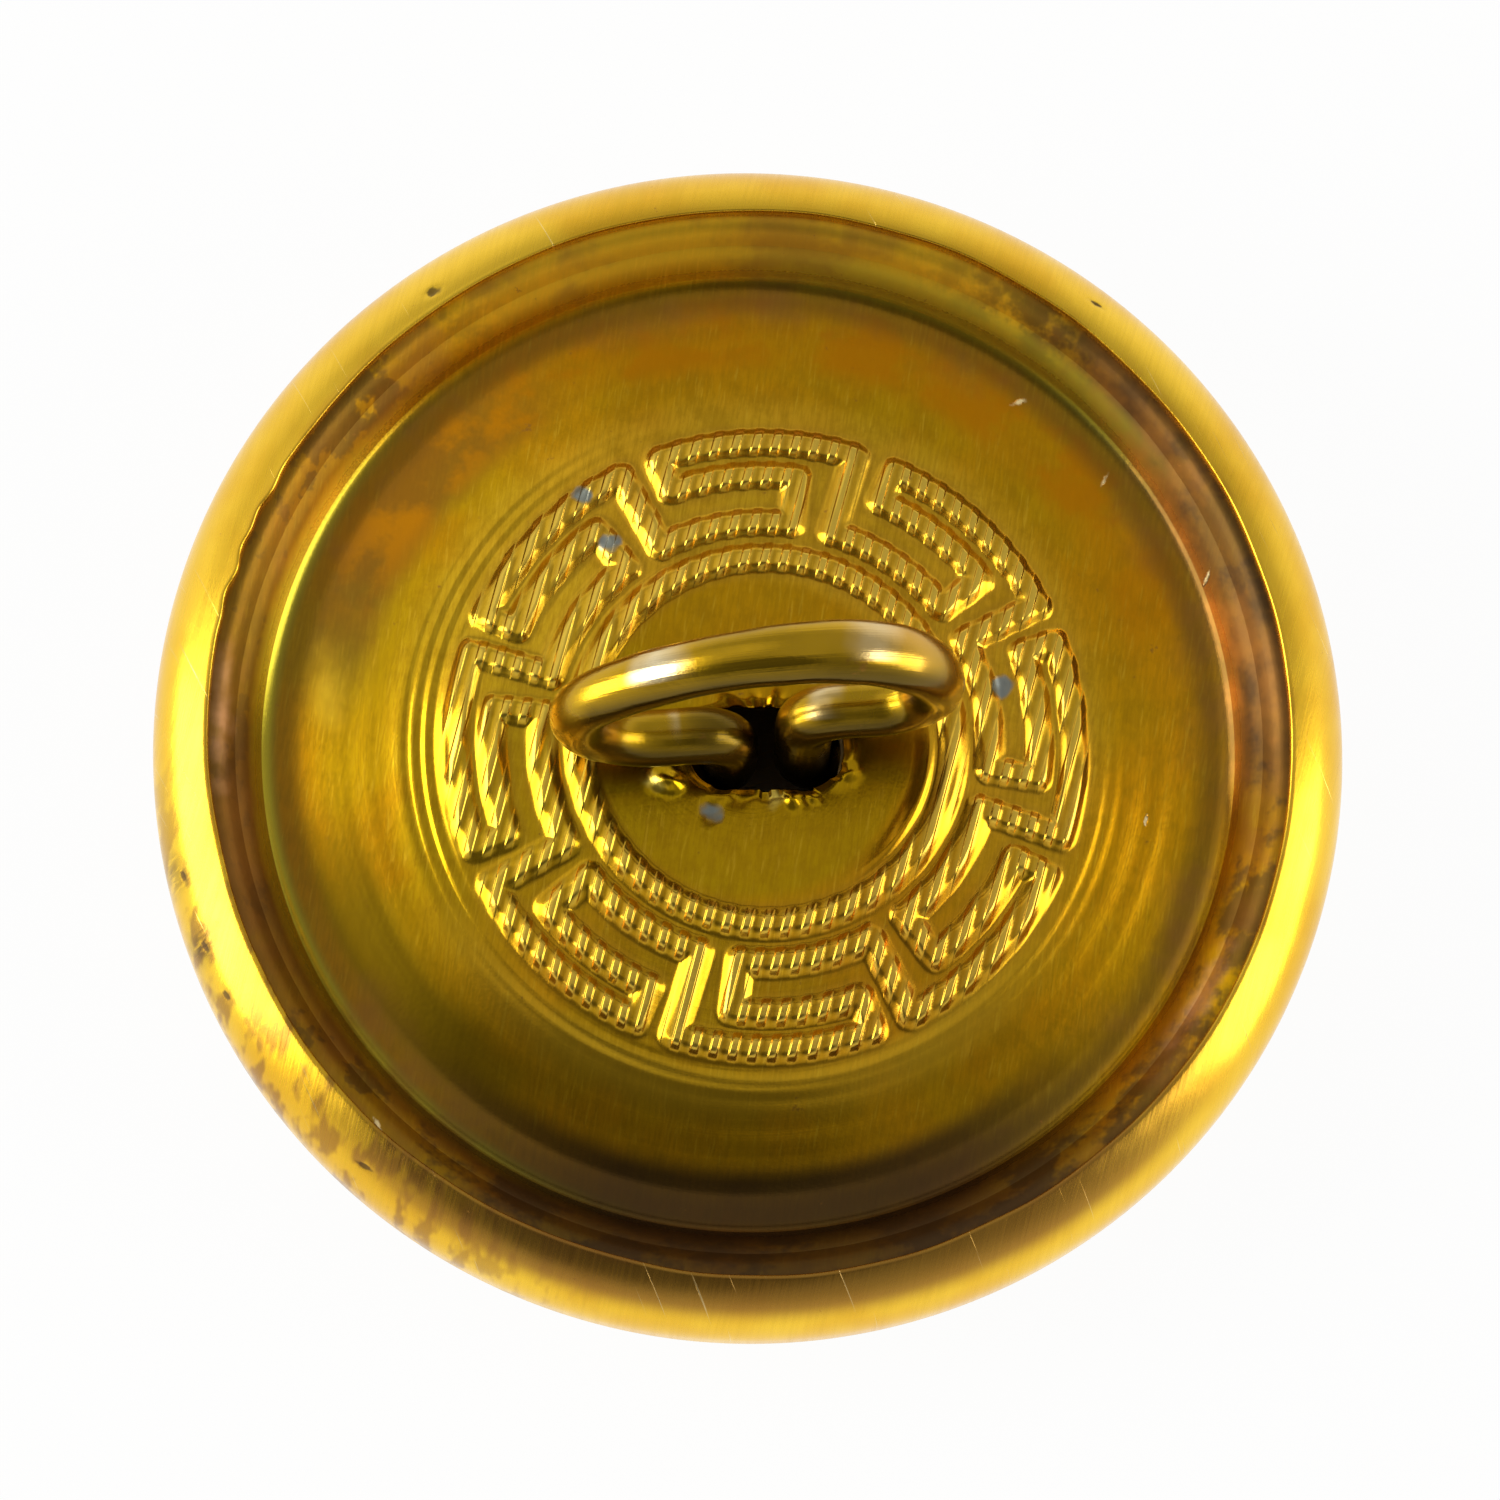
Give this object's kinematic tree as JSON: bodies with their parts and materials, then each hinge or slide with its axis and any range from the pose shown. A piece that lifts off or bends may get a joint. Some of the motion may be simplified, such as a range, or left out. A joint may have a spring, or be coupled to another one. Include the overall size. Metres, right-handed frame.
{
  "type": "shank button",
  "caption": "Domed metal sew-on button with a struck key-pattern back plate and a wire loop shank that turns a little in its slot.",
  "frame": {"origin": "lowest point of the domed front, under the centre of the rim", "axes": "+Z out of the back of the button, along its axis, towards the loop; +X along the loop's width at rest, to within a few degrees"},
  "size_m": [0.023, 0.023, 0.0108],
  "materials": {
    "shell_brass": "polished gilt, worn and lightly scratched",
    "plate_brass": "stamped gilt, slightly tarnished",
    "wire_brass": "drawn bright wire",
    "washer_steel": "tinned sheet",
    "filler_board": "pressed strawboard"
  },
  "bodies": {
    "button": {"front_shell": "shell_brass", "back_plate": "plate_brass", "anchor_washer": "washer_steel", "filler_board": "filler_board"},
    "shank": {"wire_shank": "wire_brass"}
  },
  "joints": [
    {"name": "shank_swivel", "type": "hinge", "parent": "button", "child": "shank", "pos_m": [0.0003, -0.00015, 0.00464], "axis": [0, 0, 1], "range_deg": [-18, 10]}
  ]
}
